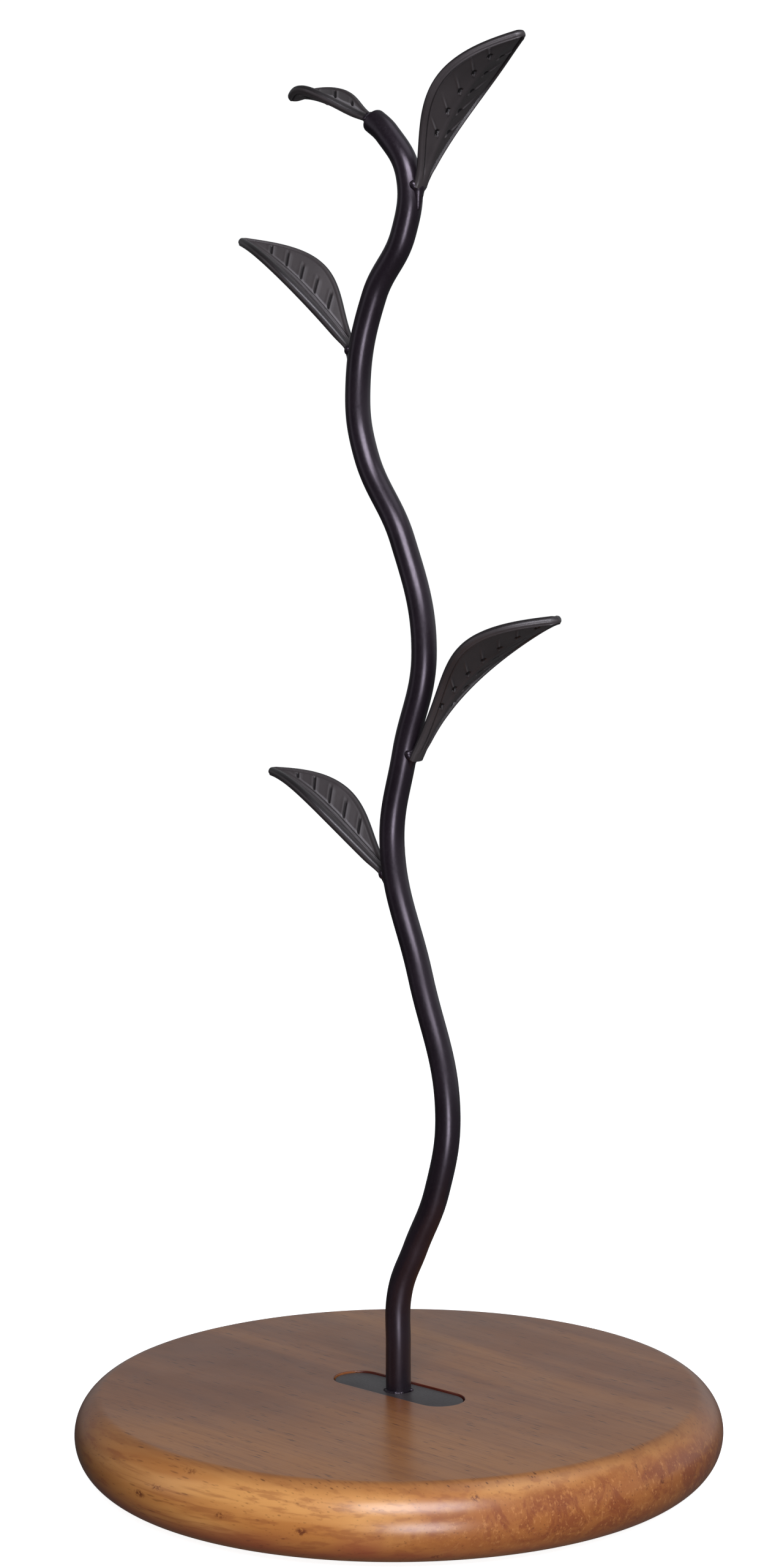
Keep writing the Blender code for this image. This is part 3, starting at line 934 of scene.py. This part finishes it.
def make_leaf_weld(name, root, points, along, material):
    """A bead round a root's end on the stem, and the heel that tapers away below it."""
    nearest = int(np.argmin(np.linalg.norm(points - root, axis=1)))
    centre = points[nearest]
    outward = (root - centre) / np.linalg.norm(root - centre)
    down = -along[nearest]
    skin = centre + outward * STEM_RADIUS
    blobs = []
    for i in range(9):
        turn = radians(-64 + 16 * i)
        ripple = 0.10 * sin(2.4 * i)
        place = skin + Y_AXIS * 2.0 * MM * sin(turn) + down * (1.7 * cos(turn) - 0.2) * MM
        place = place - outward * 0.6 * MM * sin(turn) ** 2
        blobs.append((place, (1.20 + ripple) * MM))
    for i in range(9):
        place = skin + down * (0.9 + 0.75 * i) * MM - outward * (0.5 + 0.12 * i) * MM
        radius = (2.05 - 0.16 * i + 0.10 * sin(3.1 * i)) * MM
        blobs.append((place, radius))
    make_weld(name.replace("leaf", "weld"), blobs, material)


def make_tip_weld(root, material):
    """The bead round the top left leaf's root, where it grows out of the stem's end."""
    blobs = []
    drops = 12
    for i in range(drops):
        turn = tau * i / drops
        place = root + np.array([0.3 * MM, 2.1 * MM * cos(turn), 1.25 * MM * sin(turn)])
        radius = (0.75 + 0.1 * sin(2.2 * i)) * MM
        blobs.append((place, radius))
    make_weld("weld_top_left", blobs, material)


def make_foot_weld(material):
    """Two short beads at the stem's foot, front and back, with a notch left on either side."""
    blobs = []
    reach = STEM_RADIUS + 0.1 * MM
    for side in (-1, 1):
        for i in range(9):
            turn = radians(-56 + 14 * i) + side * pi / 2
            place = np.array([reach * cos(turn), reach * sin(turn), PLATE_HIGH.z])
            radius = (0.62 + 0.08 * sin(2.7 * i + side)) * MM
            blobs.append((place, radius))
    make_weld("weld_foot", blobs, material)


def make_welds(material, points, along):
    """A bead at each leaf's root, and at the stem's foot."""
    for name, shape in LEAVES.items():
        root = np.array([shape[0][0], 0, shape[0][1]])
        if name == "leaf_top_left":
            make_tip_weld(root, material)
        else:
            make_leaf_weld(name, root, points, along, material)
    make_foot_weld(material)


# Fasteners ----------------------------------------------------------------------------
def make_screw(side, material):
    """A socket-head machine screw with a rolled thread."""
    node = "screw_" + side
    low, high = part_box(node)
    centre = level_centre(low, high)
    count = 48
    head_radius = (high.x - low.x) / 2
    head_top = low.z + 2.8 * MM
    socket = 1.7 * MM
    socket_end = low.z + 1.6 * MM
    pitch = 0.8 * MM
    rings = [
        hexagon(socket * 0.3, socket_end, count, centre),
        hexagon(socket, socket_end, count, centre),
        hexagon(socket, low.z + 0.15 * MM, count, centre),
        level_ring(socket * 1.25, low.z, count, centre),
    ]
    for radius, z in arc(head_radius - 1.0 * MM, low.z + 1.0 * MM, 1.0 * MM, -90, 0, 7):
        rings.append(level_ring(radius, z, count, centre))
    rings.append(level_ring(head_radius, head_top - 0.2 * MM, count, centre))
    rings.append(level_ring(head_radius - 0.2 * MM, head_top, count, centre))
    z = head_top
    while z < high.z - 0.3 * MM:
        phase = (z / pitch - directions(count) / tau) % 1.0
        depth = 0.42 * MM * np.clip(1 - np.abs(phase - 0.5) * 2.6, 0, 1)
        depth *= np.clip((z - head_top) / (1.2 * MM), 0, 1)
        rings.append(level_ring(SCREW_RADIUS - depth, z, count, centre))
        z += pitch / 8
    rings.append(level_ring(SCREW_RADIUS - 0.6 * MM, high.z, count, centre))
    add_piece("threaded_" + node, loft(node, rings), material, "zinc_plated_steel", node)


def make_washer(side, material):
    """A flat ring with its outer corners eased."""
    node = "washer_" + side
    low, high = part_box(node)
    outer = (high.x - low.x) / 2
    inner = SCREW_RADIUS + GAP
    ease = 0.15 * MM
    profile = [
        (inner, low.z),
        (inner, high.z),
        (outer - ease, high.z),
        (outer, high.z - ease),
        (outer, low.z + ease),
        (outer - ease, low.z),
    ]
    washer = turned(node, profile, 96, level_centre(low, high), loop=True)
    add_piece("flat_" + node, washer, material, "zinc_plated_steel", node)


def make_spring_washer(side, material):
    """A split ring of square wire, one end a little higher than the other."""
    node = "spring_washer_" + side
    low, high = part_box(node)
    x, y = level_centre(low, high)
    outer = (high.y - low.y) / 2
    inner = SCREW_RADIUS + GAP
    lift = 0.12 * MM
    ease = 0.12 * MM
    thickness = high.z - low.z - lift
    corners = (
        (outer - ease, thickness - ease),
        (inner + ease, thickness - ease),
        (inner + ease, ease),
        (outer - ease, ease),
    )
    section = []
    for number, (radius, z) in enumerate(corners):
        section += arc(radius, z, ease, 90 * number, 90 * number + 90, 4)
    rings = []
    for turn in np.radians(np.linspace(5, 355, 97)):
        rise = low.z + lift * turn / tau
        rings.append([
            (x + radius * cos(turn), y + radius * sin(turn), rise + z) for radius, z in section])
    add_piece("split_" + node, loft(node, rings), material, "zinc_plated_steel", node)


# Stage, light and camera --------------------------------------------------------------
CAMERA_AZIMUTH = radians(43)
CAMERA_DISTANCE = 1.0           # level distance from the base's centre
CAMERA_HEIGHT = 0.3143          # above the wood's underside
CAMERA_PITCH = radians(4)
CAMERA_ROLL = -0.0066
CAMERA_SENSOR = 36.0            # in millimetres, along the picture's height
CAMERA_LENS = 84.07             # in millimetres
CAMERA_SHIFT = (-0.0037, -0.1258)
BRIGHT_SIDE = (0.37, 0.93, 0)   # of the surroundings
BRIGHT_STRENGTH = 1.50          # of the surroundings on that side; they are black opposite
MIDDLE_TARGET = (0, 0, 0.15)
LOW_TARGET = (0, 0, 0.12)       # the low strip lights the round edge from beneath
HIGH_TARGET = (0, 0, 0.30)      # the side strips are seen along the stem's two sides
LIGHT_COLOR = (0.96, 0.98, 1.06)
STAGE_COLOR = (0.80, 0.80, 0.79, 1)
STAGE_GLOW = 0.92


def toward(azimuth, elevation, distance, target):
    """A place at a distance from the target, in the direction of a view at those angles."""
    level = cos(radians(elevation))
    return Vector(target) + distance * Vector((
        sin(radians(azimuth)) * level, -cos(radians(azimuth)) * level, sin(radians(elevation))))


def make_camera():
    """The camera that took the photograph."""
    data = bpy.data.cameras.new("camera")
    data.sensor_width = CAMERA_SENSOR
    data.lens = CAMERA_LENS
    data.shift_x, data.shift_y = CAMERA_SHIFT
    data.clip_start = 0.05
    camera = bpy.data.objects.new("camera", data)
    bpy.context.scene.collection.objects.link(camera)
    place = Matrix.Translation((
        sin(CAMERA_AZIMUTH) * CAMERA_DISTANCE,
        -cos(CAMERA_AZIMUTH) * CAMERA_DISTANCE,
        BASE_BOTTOM + CAMERA_HEIGHT))
    turn = Euler((pi / 2 - CAMERA_PITCH, 0, CAMERA_AZIMUTH)).to_matrix().to_4x4()
    camera.matrix_world = place @ turn @ Matrix.Rotation(CAMERA_ROLL, 4, "Z")
    bpy.context.scene.camera = camera


def make_light(name, azimuth, elevation, distance, size, power, target=MIDDLE_TARGET):
    """A rectangular lamp that faces the target and is not seen itself."""
    data = bpy.data.lights.new(name, "AREA")
    data.shape = "RECTANGLE"
    data.size, data.size_y = size
    data.energy = power
    data.color = LIGHT_COLOR
    light = bpy.data.objects.new(name, data)
    bpy.context.scene.collection.objects.link(light)
    light.location = toward(azimuth, elevation, distance, target)
    aim = Vector(target) - light.location
    light.rotation_euler = aim.to_track_quat("-Z", "Y").to_euler()
    light.visible_camera = False


def make_lights():
    """A high lamp in front, a low one under it, one above and a strip on either side."""
    make_light("key", 48, 33, distance=1.5, size=(0.95, 0.6), power=20)
    make_light(
        "low strip", 50, -15, distance=1.5, size=(0.5, 0.5), power=9.0, target=LOW_TARGET)
    make_light("top", 129, 63, distance=1.6, size=(1.0, 1.0), power=3)
    make_light(
        "left strip", -42, 12, distance=1.6, size=(0.5, 1.4), power=1.2, target=HIGH_TARGET)
    make_light(
        "right strip", 153, 12, distance=1.6, size=(0.5, 1.4), power=0.5, target=HIGH_TARGET)


def make_world():
    """Dim cool surroundings: dark below, brightest just above the horizon on one side."""
    world = bpy.data.worlds.new("studio")
    bpy.context.scene.world = world
    world.use_nodes = True
    tree = world.node_tree
    background = tree.nodes["Background"]
    direction = tree.nodes.new("ShaderNodeTexCoord").outputs["Generated"]
    height = tree.nodes.new("ShaderNodeSeparateXYZ")
    tree.links.new(direction, height.inputs["Vector"])
    share = tree.nodes.new("ShaderNodeMapRange")
    share.inputs["From Min"].default_value = -1
    tree.links.new(height.outputs["Z"], share.inputs["Value"])
    ramp = tree.nodes.new("ShaderNodeValToRGB")
    stops = ((0.42, 0.06), (0.50, 0.28), (0.62, 0.32), (0.80, 0.18), (1.0, 0.15))
    while len(ramp.color_ramp.elements) < len(stops):
        ramp.color_ramp.elements.new(0.5)
    for element, (place, grey) in zip(ramp.color_ramp.elements, stops):
        element.position = place
        element.color = (grey * 0.95, grey, grey * 1.03, 1.0)
    tree.links.new(share.outputs["Result"], ramp.inputs["Fac"])
    tree.links.new(ramp.outputs["Color"], background.inputs["Color"])

    sideways = tree.nodes.new("ShaderNodeVectorMath")
    sideways.operation = "DOT_PRODUCT"
    tree.links.new(direction, sideways.inputs[0])
    sideways.inputs[1].default_value = BRIGHT_SIDE
    lean = tree.nodes.new("ShaderNodeMapRange")
    lean.inputs["From Min"].default_value = -1
    lean.inputs["To Max"].default_value = BRIGHT_STRENGTH
    tree.links.new(sideways.outputs["Value"], lean.inputs["Value"])
    tree.links.new(lean.outputs["Result"], background.inputs["Strength"])


def make_stage():
    """A wide pale floor that curves up into a wall all round; only the camera sees it."""
    material = bpy.data.materials.new("pale_studio")
    material.use_nodes = True
    shader = material.node_tree.nodes["Principled BSDF"]
    shader.inputs["Base Color"].default_value = STAGE_COLOR
    shader.inputs["Roughness"].default_value = 0.9
    shader.inputs["Specular IOR Level"].default_value = 0.0
    shader.inputs["Emission Color"].default_value = (1, 1, 1, 1)
    shader.inputs["Emission Strength"].default_value = STAGE_GLOW
    floor_radius = 3.0
    curve = 1.2
    wall_top = 6.0
    profile = [(0.02, 0), (0.5, 0), (floor_radius, 0)]
    profile += arc(floor_radius, curve, curve, -90, 0, 17)[1:]
    profile.append((floor_radius + curve, wall_top))
    rings = [level_ring(radius, z, 128) for radius, z in profile]
    floor = bpy.data.objects.new("studio_floor", loft("studio_floor", rings, close_end=False))
    bpy.context.scene.collection.objects.link(floor)
    floor.data.materials.append(material)
    floor.data.shade_smooth()
    floor.visible_diffuse = False
    floor.visible_glossy = False
    floor.visible_shadow = False


def make_object():
    """Every piece that stands for the object, with its material."""
    wood = make_wood()
    stem_coat = make_powder_coat(
        "black_powder_coat", STEM_COAT_DEEP, STEM_COAT_PALE, smooth=0.28, tint=(1.0, 0.86, 1.0))
    # The same black coat painted lighter for the leaves and the plate: painted light.
    lit_leaf_coat = make_powder_coat(
        "black_powder_coat_painted_lit", LEAF_COAT_LIT_DEEP, LEAF_COAT_LIT_PALE, smooth=0.36,
        tint=(1.0, 0.96, 0.98))
    zinc = make_zinc()
    rubber = make_rubber()
    make_base(wood)
    make_feet(rubber)
    make_plate(lit_leaf_coat)
    points, along = stem_path()
    make_stem(stem_coat, points, along)
    for name, shape in LEAVES.items():
        make_leaf(name, shape, lit_leaf_coat)
    make_welds(stem_coat, points, along)
    for side in SIDES:
        make_screw(side, zinc)
        make_washer(side, zinc)
        make_spring_washer(side, zinc)


make_camera()
make_world()
make_stage()
make_lights()
make_object()
bpy.context.scene.view_settings.view_transform = "Standard"
